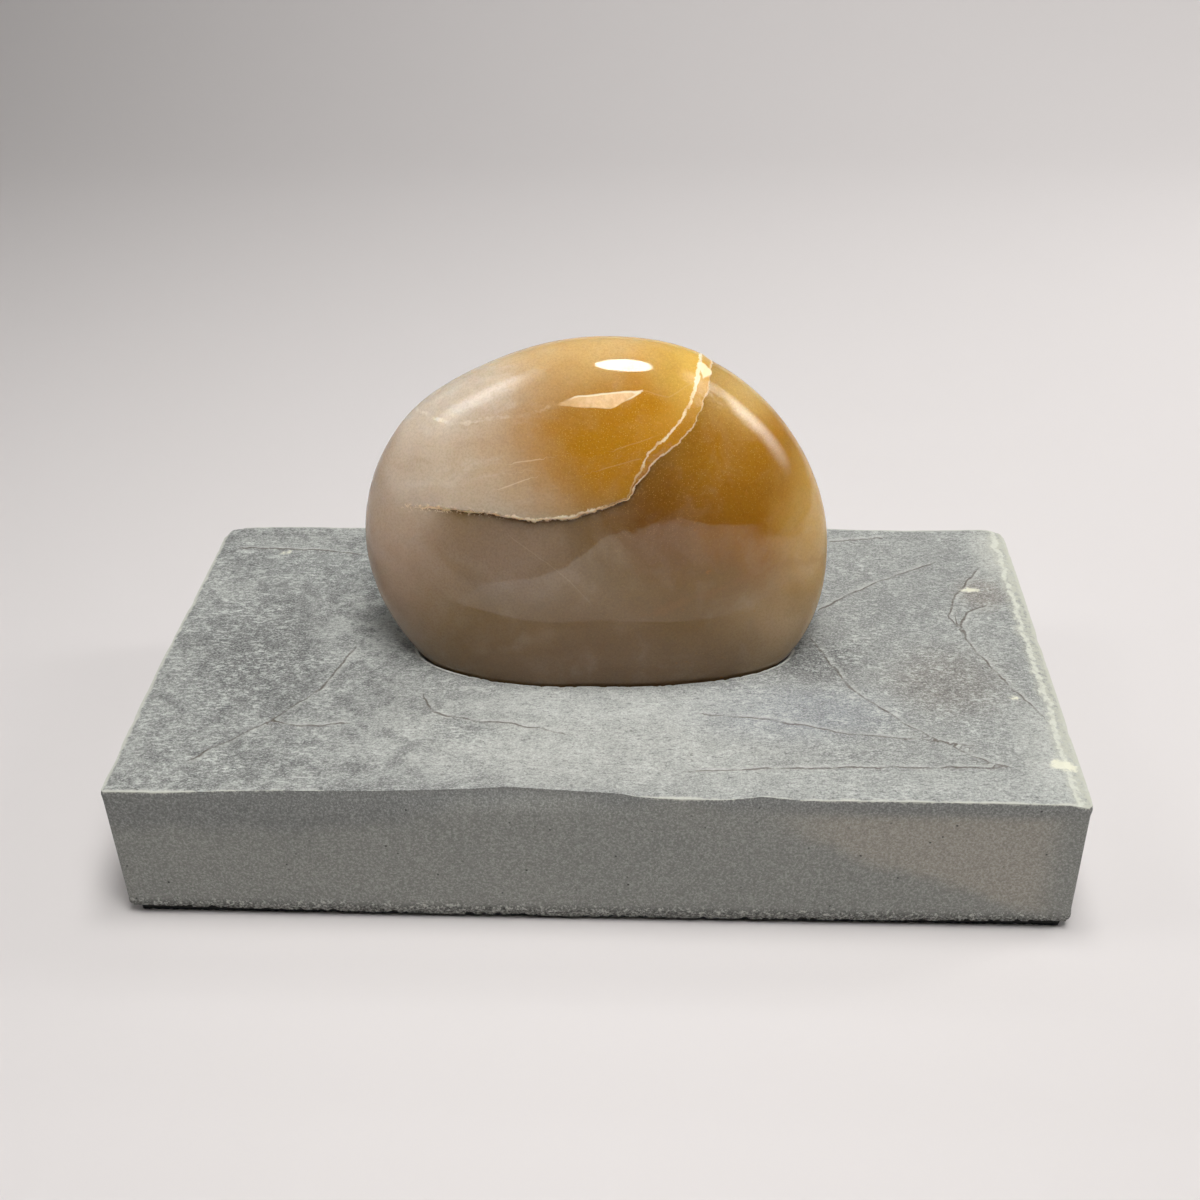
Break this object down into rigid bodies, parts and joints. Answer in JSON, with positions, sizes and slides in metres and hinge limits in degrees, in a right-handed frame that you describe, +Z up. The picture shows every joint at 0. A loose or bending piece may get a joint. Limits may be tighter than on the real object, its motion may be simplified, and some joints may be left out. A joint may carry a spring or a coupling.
{
  "type": "polished quartz pebble on a sawn stone slab",
  "caption": "Polished cloudy quartz pebble, amber to milky grey, standing on edge in a fitted socket of a sawn grey-green stone slab.",
  "frame": {"origin": "centre of the underside of the slab, on the plane that the slab rests on", "axes": "+X to the right along the slab's long side, +Y away from the front face, +Z up out of the table"},
  "size_m": [0.18, 0.095, 0.095],
  "materials": {
    "polished_quartz": "polished to a gloss, translucent and cloudy, amber at the crown fading to milky pink-grey",
    "sawn_stone": "matt cleft top with pale dusty streaks and thin brown veins, sawn fine-grained sides"
  },
  "bodies": {
    "root": {"quartz_pebble": "polished_quartz", "stone_slab": "sawn_stone"}
  },
  "joints": []
}
